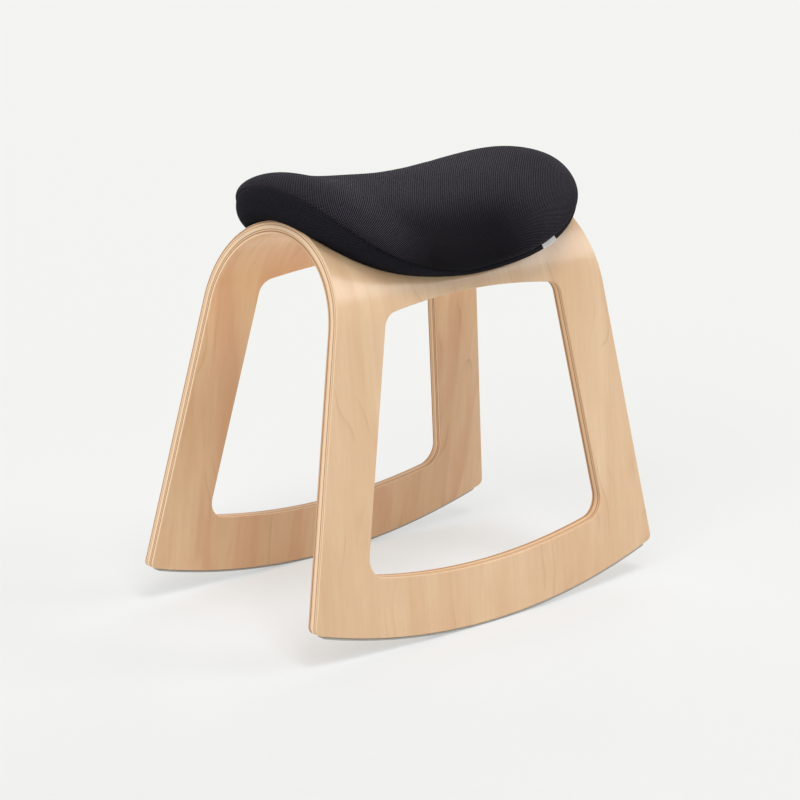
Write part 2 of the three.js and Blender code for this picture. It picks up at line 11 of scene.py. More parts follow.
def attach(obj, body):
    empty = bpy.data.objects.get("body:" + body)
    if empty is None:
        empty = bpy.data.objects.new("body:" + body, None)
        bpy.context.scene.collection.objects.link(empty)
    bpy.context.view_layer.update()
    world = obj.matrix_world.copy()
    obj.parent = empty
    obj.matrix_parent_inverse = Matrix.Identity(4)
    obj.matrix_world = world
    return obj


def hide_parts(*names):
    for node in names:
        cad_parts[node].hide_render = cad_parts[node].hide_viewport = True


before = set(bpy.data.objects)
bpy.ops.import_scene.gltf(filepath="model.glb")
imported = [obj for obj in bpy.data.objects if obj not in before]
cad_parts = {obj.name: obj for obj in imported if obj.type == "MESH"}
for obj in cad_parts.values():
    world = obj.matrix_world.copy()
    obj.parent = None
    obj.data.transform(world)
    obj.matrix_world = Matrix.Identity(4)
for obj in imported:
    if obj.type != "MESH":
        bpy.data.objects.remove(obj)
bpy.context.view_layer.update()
scene = bpy.context.scene
scene.view_settings.view_transform = "Standard"

# Camera, solved from the photograph's outlines, in metres and degrees
AZIMUTH = math.radians(-42.4036)
ELEVATION = math.radians(15.1294)
ROLL = math.radians(0.8635)
DISTANCE = 3.0796
TARGET = Vector((0.01422, 0.02463, 0.22451))
LENS = 116.08
SENSOR_WIDTH = 36
NEAR_CLIP, FAR_CLIP = 0.05, 100


def make_camera():
    back = Vector((
        math.sin(AZIMUTH) * math.cos(ELEVATION),
        -math.cos(AZIMUTH) * math.cos(ELEVATION),
        math.sin(ELEVATION),
    ))
    flat_right = (-back).cross(Vector((0, 0, 1))).normalized()
    flat_up = flat_right.cross(-back)
    right = flat_right * math.cos(ROLL) + flat_up * math.sin(ROLL)
    up = flat_up * math.cos(ROLL) - flat_right * math.sin(ROLL)
    data = bpy.data.cameras.new("view_camera")
    data.lens = LENS
    data.sensor_width = SENSOR_WIDTH
    data.clip_start = NEAR_CLIP
    data.clip_end = FAR_CLIP
    cam = bpy.data.objects.new("view_camera", data)
    scene.collection.objects.link(cam)
    turn = Matrix((right, up, back)).transposed().to_4x4()
    cam.matrix_world = Matrix.Translation(TARGET + back * DISTANCE) @ turn
    scene.camera = cam


make_camera()

# Sizes of the part, in millimetres
PLY = 15.0
CROWN_RADIUS = 118.0
FRAME_HEIGHT = 470.0
SPLAY = math.radians(7)
RAKE = math.radians(10.55)
FOOT_HALF_LENGTH = 270.0
FOOT_CORNER = 8.0
ROCKER_RADIUS = 908.0
ROCKER_STEPS = 17
STRIP_THICKNESS = 2.5
STRIP_WIDTH = 12.0
STRIP_END_MARGIN = 10.0
STRIP_EASE = 0.7
STRIP_END_SIZES, STRIP_END_REACH = (0.72, 0.93), 0.35
UPRIGHT = 71.5
SILL_HEIGHT, SILL_RADIUS, SILL_CORNER = 71.5, 880.0, 24.0
HEAD_HEIGHT, HEAD_RADIUS, HEAD_CORNER = 387.0, 860.0, 19.0
CLEARANCE = 0.3
BEND_CLEARANCE = 0.7
BOLT_X, BOLT_GIRTH, BORE_RADIUS = 95.0, 40.0, 3.3
BOLTS = [(x * BOLT_X, girth * BOLT_GIRTH) for x in (1, -1) for girth in (1, -1)]
FRAME_EASE, BORE_EASE = 1.3, 0.3

CROWN_CENTRE = FRAME_HEIGHT - CROWN_RADIUS
BEND_GIRTH = CROWN_RADIUS * (math.pi / 2 - SPLAY)
STRIP_ANGLE = math.asin((FOOT_HALF_LENGTH - STRIP_END_MARGIN) / ROCKER_RADIUS)
ROCKER_CENTRE = ROCKER_RADIUS * math.cos(STRIP_ANGLE / ROCKER_STEPS)
FOOT_HEIGHT = ROCKER_CENTRE - math.sqrt(ROCKER_RADIUS**2 - FOOT_HALF_LENGTH**2)
END_AT_FLOOR = FOOT_HALF_LENGTH + FOOT_HEIGHT * math.tan(RAKE)
LEG_REACH = CROWN_CENTRE * math.sin(SPLAY) + CROWN_RADIUS

# Steps of the scene's meshes, in millimetres or in counts
ARC_STEP, CORNER_STEP, FOOT_CORNER_STEP, STRAIGHT_STEP = 3.0, 1.5, 1.0, 4.0
END_POINTS, BORE_POINTS, STRIP_POINTS = 260, 24, 141
GRID_ALONG, GRID_ROUND, GRID_MARGIN = 12.0, 6.0, 4.0
EASE_STEPS = (0.0, 0.2, 0.45, 0.75, 1.0)
TANGENT_STEP = 1e-4
SAME_POINT = 1e-6
INSIDE_BATCH = 2000
METRE = 0.001


def on_shell(x, girth, rise):
    """Place on the bent sheet: along the ridge, round the bend, and off the outer face."""
    x, girth, rise = np.broadcast_arrays(*[np.asarray(v, float) for v in (x, girth, rise)])
    bent = np.clip(girth, -BEND_GIRTH, BEND_GIRTH)
    angle = bent / CROWN_RADIUS
    beyond = np.abs(girth) - np.abs(bent)
    y = (CROWN_RADIUS + rise) * np.sin(angle) + np.sign(girth) * beyond * math.sin(SPLAY)
    z = CROWN_CENTRE + (CROWN_RADIUS + rise) * np.cos(angle) - beyond * math.cos(SPLAY)
    return np.stack([x, y, z], -1)


def shell_normal(girth):
    angle = np.clip(girth, -BEND_GIRTH, BEND_GIRTH) / CROWN_RADIUS
    return np.stack([np.zeros_like(angle), np.sin(angle), np.cos(angle)], -1)


def girth_at(z, depth):
    """Girth of the height z on the face at that depth, on the +Y side."""
    radius = CROWN_RADIUS - depth
    bend_end = CROWN_CENTRE + radius * math.sin(SPLAY)
    z = np.asarray(z, float)
    on_bend = CROWN_RADIUS * np.arccos(np.clip((z - CROWN_CENTRE) / radius, -1, 1))
    on_leg = BEND_GIRTH + (bend_end - z) / math.cos(SPLAY)
    return np.where(z > bend_end, on_bend, on_leg)


def unit(v):
    return v / np.maximum(np.linalg.norm(v, axis=-1, keepdims=True), 1e-12)


# Mesh helpers
def make_object(name, points, faces, normals=None, attributes=None, sharp=None):
    """Object of a smooth mesh; edges bent by more than sharp degrees stay sharp."""
    mesh = bpy.data.meshes.new(name)
    mesh.from_pydata((np.asarray(points) * METRE).tolist(), [], [list(map(int, f)) for f in faces])
    mesh.polygons.foreach_set("use_smooth", np.ones(len(mesh.polygons), bool))
    for key, values in (attributes or {}).items():
        layer = mesh.attributes.new(key, "FLOAT_VECTOR", "POINT")
        layer.data.foreach_set("vector", np.asarray(values, np.float32).ravel())
    if normals is not None:
        mesh.normals_split_custom_set_from_vertices(unit(np.asarray(normals)).tolist())
    obj = bpy.data.objects.new(name, mesh)
    scene.collection.objects.link(obj)
    if sharp is not None:
        bm = bmesh.new()
        bm.from_mesh(mesh)
        for edge in bm.edges:
            if len(edge.link_faces) == 2 and edge.calc_face_angle(0) > math.radians(sharp):
                edge.smooth = False
        bm.to_mesh(mesh)
        bm.free()
    return obj


def ring_faces(first, second, count, closed=True):
    """Quads between two rings that start at those vertex numbers."""
    i = np.arange(count if closed else count - 1)
    j = (i + 1) % count
    return np.stack([first + i, first + j, second + j, second + i], -1)


def loft(rings, start=None, end=None, loop=False):
    """Vertices and faces through rings of equal count, closed on a point where one is given."""
    count = len(rings[0])
    points = np.concatenate(rings)
    faces = [ring_faces(r * count, (r + 1) * count, count) for r in range(len(rings) - 1)]
    if loop:
        faces.append(ring_faces((len(rings) - 1) * count, 0, count))
    faces = [list(f) for f in np.concatenate(faces)]
    i = np.arange(count)
    j = (i + 1) % count
    if start is not None:
        points = np.vstack([points, start])
        faces += [[len(points) - 1, b, a] for a, b in zip(i, j)]
    if end is not None:
        points = np.vstack([points, end])
        last = (len(rings) - 1) * count
        faces += [[last + a, last + b, len(points) - 1] for a, b in zip(i, j)]
    return points, faces


def arc(cx, cy, radius, start, stop, step):
    count = max(3, int(math.ceil(abs(stop - start) * radius / step)))
    a = np.linspace(start, stop, count + 1)
    return np.stack([cx + radius * np.cos(a), cy + radius * np.sin(a)], -1)


def corner_between(side_at_floor, arc_centre, arc_radius, corner_radius, below):
    """Centre and angles of a round between a raked side and an arc on the middle line."""
    n = np.array([math.cos(RAKE), math.sin(RAKE)])
    along = np.array([-n[1], n[0]])
    out = side_at_floor * n[0] - corner_radius
    reach = (arc_radius - corner_radius) ** 2 - (arc_centre * n[1] - out) ** 2
    place = arc_centre * along[1] + (-1 if below else 1) * math.sqrt(reach)
    centre = n * out + along * place
    return centre, math.atan2(centre[1] - arc_centre, centre[0])


# The bent sheet and its grip strips
def foot_curve():
    """Lower outline of a leg in the XZ plane, from the -X end's round to the +X end's."""
    radius = ROCKER_CENTRE - STRIP_THICKNESS - CLEARANCE
    centre, angle = corner_between(END_AT_FLOOR, ROCKER_CENTRE, radius, FOOT_CORNER, True)
    rocker = arc(0, ROCKER_CENTRE, radius, -math.pi / 2, angle, ARC_STEP)
    rounded = arc(centre[0], centre[1], FOOT_CORNER, angle, RAKE, FOOT_CORNER_STEP)
    half = np.vstack([rocker[:-1], rounded])
    return np.vstack([(half * [-1, 1])[::-1], half[1:]])


def window_curve():
    """Outline of a window in the XZ plane, from the middle of its sill and round by +X."""
    side = END_AT_FLOOR - UPRIGHT
    sill_c, head_c = SILL_HEIGHT + SILL_RADIUS, HEAD_HEIGHT - HEAD_RADIUS
    low, low_angle = corner_between(side, sill_c, SILL_RADIUS, SILL_CORNER, True)
    top, top_angle = corner_between(side, head_c, HEAD_RADIUS, HEAD_CORNER, False)
    sill = arc(0, sill_c, SILL_RADIUS, -math.pi / 2, low_angle, ARC_STEP)
    sill_round = arc(low[0], low[1], SILL_CORNER, low_angle, RAKE, CORNER_STEP)
    head_round = arc(top[0], top[1], HEAD_CORNER, RAKE, top_angle, CORNER_STEP)
    head = arc(0, head_c, HEAD_RADIUS, top_angle, math.pi / 2, ARC_STEP)
    a, b = sill_round[-1], head_round[0]
    count = int(np.linalg.norm(b - a) / STRAIGHT_STEP)
    straight = a + (b - a) * np.linspace(0, 1, count + 1)[1:-1, None]
    half = np.vstack([sill[:-1], sill_round, straight, head_round[:-1], head])
    return np.vstack([half, (half[1:-1] * [-1, 1])[::-1]])


def perimeter():
    """Outline of both faces in the (x, girth) plane, matched point by point."""
    foot = foot_curve()
    faces = []
    for depth in (0.0, PLY):
        girth = girth_at(foot[:, 1], depth)
        lower = np.stack([foot[:, 0], girth], -1)
        along = np.linspace(1, -1, END_POINTS)[1:-1] * girth[-1]
        x = END_AT_FLOOR - on_shell(0, along, -depth)[:, 2] * math.tan(RAKE)
        plus = np.stack([x, along], -1)
        other = lower[::-1] * [1, -1]
        minus = np.stack([-x[::-1], along[::-1]], -1)
        faces.append(np.vstack([lower, plus, other, minus]))
    return faces


def window(side):
    """Outline of a window on both faces, for the leg on that side of the ridge."""
    curve = window_curve()
    return [np.stack([curve[:, 0], side * girth_at(curve[:, 1], d)], -1) for d in (0.0, PLY)]


def bore(x, girth, radius):
    """Outline of a bolt's hole on both faces."""
    a = np.linspace(0, 2 * math.pi, BORE_POINTS + 1)[:-1]
    faces = []
    for depth in (0.0, PLY):
        stretch = CROWN_RADIUS / (CROWN_RADIUS - depth)
        faces.append(np.stack([x + radius * np.cos(a), girth + radius * np.sin(a) * stretch], -1))
    return faces


def inside(points, loop):
    """True for the points that lie in a closed loop."""
    a, b = loop, np.roll(loop, -1, 0)
    result = np.zeros(len(points), bool)
    for k in range(0, len(points), INSIDE_BATCH):
        p = points[k:k + INSIDE_BATCH]
        crosses = (a[None, :, 1] > p[:, None, 1]) != (b[None, :, 1] > p[:, None, 1])
        dy = b[:, 1] - a[:, 1]
        dy = np.where(dy == 0, 1e-12, dy)
        at = a[None, :, 0] + (p[:, None, 1] - a[None, :, 1]) / dy * (b - a)[None, :, 0]
        result[k:k + INSIDE_BATCH] = (crosses & (at > p[:, None, 0])).sum(1) % 2 == 1
    return result


def inset_loop(loop, amount):
    """A closed loop moved inwards by that amount, or outwards by a negative one."""
    tangent = unit(np.roll(loop, -1, 0) - np.roll(loop, 1, 0))
    left = np.stack([-tangent[:, 1], tangent[:, 0]], -1)
    area = np.sum(loop[:, 0] * np.roll(loop[:, 1], -1) - np.roll(loop[:, 0], -1) * loop[:, 1])
    return loop + left * amount * np.sign(area)


class SheetMesh:
    """The bent sheet's mesh as it grows: points with their normals and their places on the sheet."""

    def __init__(self):
        self.points, self.normals, self.sheet, self.faces = [], [], [], []
        self.total = 0

    def add(self, points, normals, places, depth):
        """Adds points and gives the number of the first of them."""
        start = self.total
        self.points.append(points)
        self.normals.append(normals)
        self.sheet.append(np.column_stack([places, np.full(len(points), depth)]))
        self.total += len(points)
        return start

    def turned_faces(self, points, normals):
        """The faces, each turned so that it looks along its own vertices' normals."""
        turned = []
        for face in self.faces:
            p = points[face]
            n = np.cross(p[1] - p[0], p[2] - p[0])
            if len(face) == 4:
                n = n + np.cross(p[2] - p[0], p[3] - p[0])
            turned.append(face if np.dot(n, normals[face].sum(0)) > 0 else face[::-1])
        return turned

    def make(self, name):
        points, normals = np.vstack(self.points), np.vstack(self.normals)
        faces = self.turned_faces(points, normals)
        return make_object(name, points, faces, normals, {"sheet": np.vstack(self.sheet)})


def eased_edge(mesh, pair, ease, into):
    """Adds a cut edge with both corners eased, and gives its rim on each face: first point and loop."""
    count = len(pair[0])
    corner = [on_shell(loop[:, 0], loop[:, 1], -depth) for loop, depth in zip(pair, (0.0, PLY))]
    across = unit(corner[1] - corner[0])
    tangent = unit(np.roll(corner[0], -1, 0) - np.roll(corner[0], 1, 0))
    cut_normal = unit(np.cross(tangent, across))
    rows, rims = [], []
    for loop, edge, depth, sign in zip(pair, corner, (0.0, PLY), (1, -1)):
        inner = inset_loop(loop, ease * into)
        flat = on_shell(inner[:, 0], inner[:, 1], -depth)
        if sign == 1 and np.sum(cut_normal * (flat - edge)) > 0:
            cut_normal = -cut_normal
        face_normal = shell_normal(inner[:, 1]) * sign
        low = edge + across * ease * sign
        row = []
        for t in EASE_STEPS:
            p = (1 - t) ** 2 * flat + 2 * t * (1 - t) * edge + t * t * low
            n = unit((1 - t) * face_normal + t * cut_normal)
            row.append(mesh.add(p, n, (1 - t) * inner + t * loop, depth + ease * t * t * sign))
        rims.append((row[0], inner))
        rows.append(row)
    chain = rows[0] + rows[1][::-1]
    for a, b in zip(chain[:-1], chain[1:]):
        mesh.faces += ring_faces(a, b, count).tolist()
    return rims


def fill_face(mesh, depth, sign, rims):
    """Triangles over one face of the sheet, inside its outline and outside its windows and bores."""
    outer, holes = rims[0][1], [loop for _, loop in rims[1:]]
    low, high = outer.min(0), outer.max(0)
    x, girth = np.meshgrid(
        np.arange(low[0] + GRID_ALONG / 2, high[0], GRID_ALONG),
        np.arange(low[1] + GRID_ROUND / 2, high[1], GRID_ROUND),
    )
    x = x + (np.arange(x.shape[0]) % 2)[:, None] * (GRID_ALONG / 2)
    grid = np.column_stack([x.ravel(), girth.ravel()])
    keep = inside(grid, inset_loop(outer, GRID_MARGIN))
    for loop in holes:
        keep &= ~inside(grid, inset_loop(loop, -GRID_MARGIN))
    grid = grid[keep]
    flat, edges, index = [], [], []
    for start, loop in rims:
        first = len(flat)
        flat += [Vector(p) for p in loop]
        index += list(range(start, start + len(loop)))
        edges += [(first + i, first + (i + 1) % len(loop)) for i in range(len(loop))]
    start = mesh.add(on_shell(grid[:, 0], grid[:, 1], -depth), shell_normal(grid[:, 1]) * sign, grid, depth)
    flat += [Vector(p) for p in grid]
    index += list(range(start, start + len(grid)))
    _, _, triangles, origin, _, _ = delaunay_2d_cdt(flat, edges, [], 0, SAME_POINT)
    triangles = np.array([o[0] for o in origin])[np.array(triangles)]
    middle = np.array([[p.x, p.y] for p in flat])[triangles].mean(1)
    keep = inside(middle, outer)
    for loop in holes:
        keep &= ~inside(middle, loop)
    mesh.faces += np.array(index)[triangles[keep]].tolist()


def build_frame():
    loops = [(perimeter(), FRAME_EASE, 1), (window(1), FRAME_EASE, -1), (window(-1), FRAME_EASE, -1)]
    loops += [(bore(x, girth, BORE_RADIUS), BORE_EASE, -1) for x, girth in BOLTS]
    mesh = SheetMesh()
    rims = [eased_edge(mesh, *loop) for loop in loops]
    for k, (depth, sign) in enumerate(((0.0, 1), (PLY, -1))):
        fill_face(mesh, depth, sign, [rim[k] for rim in rims])
    return mesh.make("frame_sheet")


def strip_section():
    """Section of a grip strip with its corners eased, about its own middle."""
    section = []
    for side, rise, start in ((1, 1, 0), (-1, 1, 90), (-1, -1, 180), (1, -1, 270)):
        for a in np.radians(start + np.array([0, 30, 60, 90])):
            section.append((
                side * (STRIP_WIDTH / 2 - STRIP_EASE) + STRIP_EASE * math.cos(a),
                rise * (STRIP_THICKNESS / 2 - STRIP_EASE) + STRIP_EASE * math.sin(a),
            ))
    return np.array(section)


def strip_rings():
    """Angle and size of each ring along a strip, which rounds off over its last two rings."""
    angles = -math.pi / 2 + np.linspace(-STRIP_ANGLE, STRIP_ANGLE, STRIP_POINTS)
    sizes = np.ones(STRIP_POINTS)
    for end, inner in ((0, 1), (-1, -2)):
        angles[end] = angles[inner] + (angles[end] - angles[inner]) * STRIP_END_REACH
        sizes[end], sizes[inner] = STRIP_END_SIZES
    return zip(angles, sizes)


def build_strip(name, side):
    """A grip strip along a rocker edge, leaning with the leg."""
    section = strip_section()
    rings = []
    for angle, size in strip_rings():
        radius = ROCKER_CENTRE - STRIP_THICKNESS / 2 + section[:, 1] * size
        x, z = radius * math.cos(angle), ROCKER_CENTRE + radius * math.sin(angle)
        middle = (LEG_REACH - PLY / 2 - z * math.sin(SPLAY)) / math.cos(SPLAY)
        rings.append(np.column_stack([x, side * (middle + section[:, 0] * size), z]))
    points, faces = loft(rings, rings[0].mean(0), rings[-1].mean(0))
    obj = make_object(name, points, faces, sharp=50)
    face_out(obj)
    return obj


def face_out(obj):
    """Turns a closed mesh's faces outwards."""
    bm = bmesh.new()
    bm.from_mesh(obj.data)
    bmesh.ops.recalc_face_normals(bm, faces=bm.faces)
    bm.to_mesh(obj.data)
    bm.free()


# The seat, on the same formulas as the part's
SEAT_A, SEAT_B, SEAT_N = 199.0, 130.0, 2.5
PAD_THICKNESS, PAD_SIDE_SWELL = 35.3, 12.0
PAD_FRONT_RISE, PAD_REAR_RISE = 13.3, 22.2
PAD_FRONT_SWELL, PAD_REAR_SWELL = 211.0, 82.0
SEAM_SIDE, SEAM_END, SEAM_POWER, SEAM_EASE = 15.2, 38.8, 0.5, 0.15
CREST_POWER, END_POWER = 2.19, 8
BOW_SIDE, BOW_END = 4.3, 10.2
LEAN_SIDE, LEAN_END = -0.4, 7.2
ROLL_POWER, ROLL_SIDE, ROLL_END = 8.9, 2.5, 1.0
HEM_WIDTH, BAND_THICKNESS, BOARD_THICKNESS = 18.0, 1.5, 8.0
HEM_EASE = 0.1
HEM_BOTTOM = BEND_CLEARANCE
BOARD_BOTTOM = HEM_BOTTOM + BAND_THICKNESS + BEND_CLEARANCE
FOAM_BOTTOM = BOARD_BOTTOM + BOARD_THICKNESS + CLEARANCE
DUST_BOTTOM, DUST_TOP = 1.4, 2.2
SAG_DEPTH, SAG_PLACE, SAG_LENGTH, SAG_ROLL_SHARE = 3.6, -28.0, 42.0, 0.7
GROOVE_DEPTH, GROOVE_WIDTH = 1.5, 1.6
COVER_SINK, COVER_TO_BAND = 0.15, 0.45
TAB_PLACE, TAB_LENGTH, TAB_WIDTH, TAB_THICKNESS = 0.53, 22.0, 5.5, 1.2
TAB_FLARE, TAB_SAG, TAB_THREAD = math.radians(53), 0.35, 0.45

# The band's rings: share of the way up and depth at the rolled hem, shares above it, and
# the depth of the edge that is tucked into the seam, outside and inside
HEM_ROLL = ((0.0, 1.1), (0.006, 0.55), (0.02, 0.15), (0.045, 0.0))
BAND_RING_SHARES = (*np.linspace(0.1, 0.9, 11), 0.93, 0.955, 0.975, 0.99)
BAND_INSIDE_SHARES, BAND_TUCK_SHARE = np.linspace(0.96, 0.05, 8), 0.9
SEAM_TUCK, SEAM_TUCK_INSIDE = 1.55, 1.95

# Steps round the seat and over its top, and sizes of its knit's cells
ROUND = 256
FLOOR_SHARES, SIDE_SHARES = np.linspace(0.12, 1, 9)[:-1], np.linspace(0, 0.92, 7)
TOP_SHARES = 1 - np.linspace(0, 1, 68)[:-1] ** 3
SEAM_BLEND_SHARE, FAR_FROM_SEAM = 0.002, 200
DUST_SHARES = np.linspace(0.1, 1, 10)
TAB_COLUMNS, TAB_FLAT_SHARES, TAB_FOLD_SHARE = 25, np.linspace(0, 0.88, 10), 0.1
CLOTH_DROP_SHARE = 0.8
MESH_ALONG, MESH_ACROSS = 2.94, 3.4
BAND_MESH_ALONG, BAND_MESH_ACROSS = MESH_ALONG * 0.8, MESH_ACROSS * 0.62
BAND_CELLS = 430


def mix(a, b, t):
    return a + (b - a) * t


def rim(direction):
    """The seat's outline on the unrolled crown, its outward direction and its share of the half length."""
    c, s = np.cos(direction), np.sin(direction)
    scale = (np.abs(c) ** SEAT_N + np.abs(s) ** SEAT_N) ** (-1 / SEAT_N)
    ux, uy = c * scale, s * scale
    edge = np.stack([ux * SEAT_A, uy * SEAT_B], -1)
    out = unit(np.stack([ux / SEAT_A, uy / SEAT_B], -1))
    return edge, out, np.abs(ux)


def seam_height(ux):
    """Height of the seam over the hem, lowest at the middle of the sides."""
    def eased(v):
        return np.hypot(v, SEAM_EASE) ** SEAM_POWER
    return mix(SEAM_SIDE, SEAM_END, (eased(ux) - eased(0)) / (eased(1) - eased(0)))


def saddle(x, girth):
    """Height of the plain top over the hem."""
    u, v = np.abs(x) / SEAT_A, np.abs(girth) / SEAT_B
    crest = np.sin(math.pi / 2 * np.minimum(1, u) ** CREST_POWER) ** 2
    rise = np.where(x > 0, PAD_FRONT_RISE, PAD_REAR_RISE)
    swell = np.where(x > 0, PAD_FRONT_SWELL, PAD_REAR_SWELL)
    return PAD_THICKNESS + PAD_SIDE_SWELL * v**2 + rise * crest + swell * u**2 * v**4


# How far the filled cover stands off the plain form: on the top in a row for each place along the
# length and a column for each girth, and on the band by the share of the seat's half length.
TOP_X, TOP_GIRTH = (-185, -130, -75, -20, 35, 90, 140, 185), (0, 45, 90)
TOP_X_REACH, TOP_GIRTH_REACH = 42.0, 34.0
TOP_FILL = (
    (0.6, 0.1, -0.34), (-1.53, 1.78, 0.05), (0.6, 1.78, 0.09), (-0.28, -1.11, -0.07),
    (-0.45, 0.03, 0.23), (0.24, 2.71, 0.96), (0.24, 0.52, 0.06), (-0.6, 1.22, -2.63),
)
BAND_SHARES, BAND_REACH_SHARE = (-0.9, -0.6, -0.3, 0.0, 0.3, 0.6, 0.9), 0.22
BAND_FILL = (-0.77, -0.21, -0.74, 0.47, -0.82, 0.56, 4.2)


def top_fill(x, girth):
    total = 0
    for cx, row in zip(TOP_X, TOP_FILL):
        for cg, amount in zip(TOP_GIRTH, row):
            along, across = (x - cx) / TOP_X_REACH, (np.abs(girth) - cg) / TOP_GIRTH_REACH
            total = total + amount * np.exp(-along**2 - across**2)
    return total


def band_fill(x):
    fills = zip(BAND_FILL, BAND_SHARES)
    return sum(amount * np.exp(-((x / SEAT_A - at) / BAND_REACH_SHARE) ** 2) for amount, at in fills)


def band_place(direction, share):
    """Unrolled place (x, girth, rise) on the band's face, from the hem at 0 to the seam at 1."""
    edge, out, ux = rim(direction)
    pull = ux**END_POWER
    bow = mix(BOW_SIDE, BOW_END, pull) + band_fill(edge[..., 0])
    move = mix(LEAN_SIDE, LEAN_END, pull) * share + bow * np.sin(math.pi * share)
    place = edge + out * move[..., None]
    return np.column_stack([place, HEM_BOTTOM + seam_height(ux) * share])


def top_place(direction, share):
    """Unrolled place on the top, from its middle at 0 to the seam at 1."""
    edge, out, ux = rim(direction)
    pull = ux**END_POWER
    roll = np.maximum(0, 1 - share**ROLL_POWER) ** (1 / mix(ROLL_SIDE, ROLL_END, pull))
    sag = SAG_DEPTH * np.exp(-((edge[:, 0] - SAG_PLACE) / SAG_LENGTH) ** 2)
    puff = sag * np.sin(math.pi * np.minimum(1, roll / SAG_ROLL_SHARE))
    lean = mix(LEAN_SIDE, LEAN_END, pull)
    place = (edge + out * lean[..., None]) * share + out * puff[..., None]
    full = saddle(place[:, 0], place[:, 1]) + top_fill(place[:, 0], place[:, 1])
    rise = mix(seam_height(ux), full, roll)
    return np.column_stack([place, HEM_BOTTOM + rise])


def in_space(place):
    return on_shell(place[:, 0], place[:, 1], place[:, 2])


def face_normal(face, direction, share, sign):
    """Outward direction of the band or the top; sign is -1 where share grows downwards."""
    before = in_space(face(direction - TANGENT_STEP, share))
    after = in_space(face(direction + TANGENT_STEP, share))
    high, low = np.minimum(1.0, share + TANGENT_STEP), np.maximum(0.0, share - TANGENT_STEP)
    up = (in_space(face(direction, high)) - in_space(face(direction, low))) * sign
    return unit(np.cross(after - before, up))


DIRECTIONS = np.linspace(0, 2 * math.pi, ROUND + 1)[:-1]


def seam_normal():
    below = face_normal(band_place, DIRECTIONS, 1.0, 1)
    return unit(below + face_normal(top_place, DIRECTIONS, 1.0, -1))


def seam_groove(distance):
    """How far the cloth dips towards the seam, by the distance from it."""
    return GROOVE_DEPTH * np.exp(-((distance / GROOVE_WIDTH) ** 2))


def under_place(inset, height, share=1.0):
    """Unrolled places of a flat ring under the seat, inset from its outline."""
    edge, out, _ = rim(DIRECTIONS)
    place = (edge - out * inset) * share
    return np.column_stack([place, np.full(ROUND, height)])


def weave_place(place, away):
    """Place on the cloth in true lengths, carried on down the rolled edge, and the way to the seam."""
    _, out, _ = rim(DIRECTIONS)
    height = saddle(place[:, 0], place[:, 1])
    drop = CLOTH_DROP_SHARE * np.maximum(0, HEM_BOTTOM + height - place[:, 2])
    u = place[:, 0] + out[:, 0] * drop
    v = place[:, 1] * (1 + height / CROWN_RADIUS) + out[:, 1] * drop
    return np.column_stack([u, v, away])


def build_seat_top():
    """The knitted top panel over the foam, closed underneath, as one filled form."""
    rings, cloth = [], []

    def add(points, place, away):
        rings.append(points)
        cloth.append(weave_place(place, away))

    for share in FLOOR_SHARES:
        place = under_place(BAND_THICKNESS + BEND_CLEARANCE, FOAM_BOTTOM, share)
        add(in_space(place), place, np.zeros(ROUND))
    floor = (FOAM_BOTTOM - HEM_BOTTOM) / seam_height(rim(DIRECTIONS)[2])
    for rise in SIDE_SHARES:
        share = mix(floor, 1.0, rise)
        place = band_place(DIRECTIONS, share)
        normal = face_normal(band_place, DIRECTIONS, share, 1)
        add(in_space(place) - normal * (BAND_THICKNESS + COVER_TO_BAND), place, np.zeros(ROUND))
    at_seam = seam_normal()
    seam = in_space(top_place(DIRECTIONS, 1.0))
    for share in TOP_SHARES:
        place = top_place(DIRECTIONS, share)
        points = in_space(place)
        normal = at_seam if share == 1 else face_normal(top_place, DIRECTIONS, share, -1)
        normal = unit(mix(at_seam, normal, min(1, (1 - share) / SEAM_BLEND_SHARE)))
        away = np.linalg.norm(points - seam, axis=-1)
        add(points - normal * (seam_groove(away) + COVER_SINK)[:, None], place, away)
    middle = HEM_BOTTOM + PAD_THICKNESS + top_fill(0, 0) - COVER_SINK
    points, faces = loft(rings, on_shell(0, 0, FOAM_BOTTOM)[None], on_shell(0, 0, middle)[None])
    cloth = np.vstack(cloth + [[[0, 0, 0]], [[0, 0, FAR_FROM_SEAM]]])
    obj = make_object("seat_top", points, faces, attributes={"cloth": cloth}, sharp=60)
    face_out(obj)
    return obj


def build_band():
    """The side band, a closed shell from the seam down and turned in under the board as a hem."""
    rings, cloth = [], []
    height = seam_height(rim(DIRECTIONS)[2])
    line = in_space(band_place(DIRECTIONS, 0.5))
    steps = np.linalg.norm(np.roll(line, -1, 0) - line, axis=-1)
    along = np.concatenate([[0], np.cumsum(steps)[:-1]]) * (BAND_MESH_ALONG * BAND_CELLS / steps.sum())

    def add(share, depth):
        place = band_place(DIRECTIONS, share)
        normal = face_normal(band_place, DIRECTIONS, share, 1)
        rings.append(in_space(place) - normal * np.reshape(depth, (-1, 1)))
        cloth.append(np.column_stack([along, place[:, 2], place[:, 2]]))

    for share, depth in HEM_ROLL:
        add(share, depth)
    for share in BAND_RING_SHARES:
        add(share, seam_groove((1 - share) * height))
    add(1 - CLEARANCE / height, SEAM_TUCK)
    for share in BAND_INSIDE_SHARES:
        add(share, SEAM_TUCK_INSIDE if share > BAND_TUCK_SHARE else BAND_THICKNESS)
    hem_top = HEM_BOTTOM + BAND_THICKNESS
    hem_insets = BAND_THICKNESS, HEM_WIDTH, HEM_WIDTH, BAND_THICKNESS + HEM_EASE
    for inset, rise in zip(hem_insets, (hem_top, hem_top, HEM_BOTTOM, HEM_BOTTOM)):
        place = under_place(inset, rise)
        rings.append(in_space(place))
        cloth.append(np.column_stack([along, place[:, 2] - inset, place[:, 2]]))
    points, faces = loft(rings, loop=True)
    obj = make_object("seat_band", points, faces, attributes={"cloth": np.vstack(cloth)}, sharp=60)
    face_out(obj)
    return obj


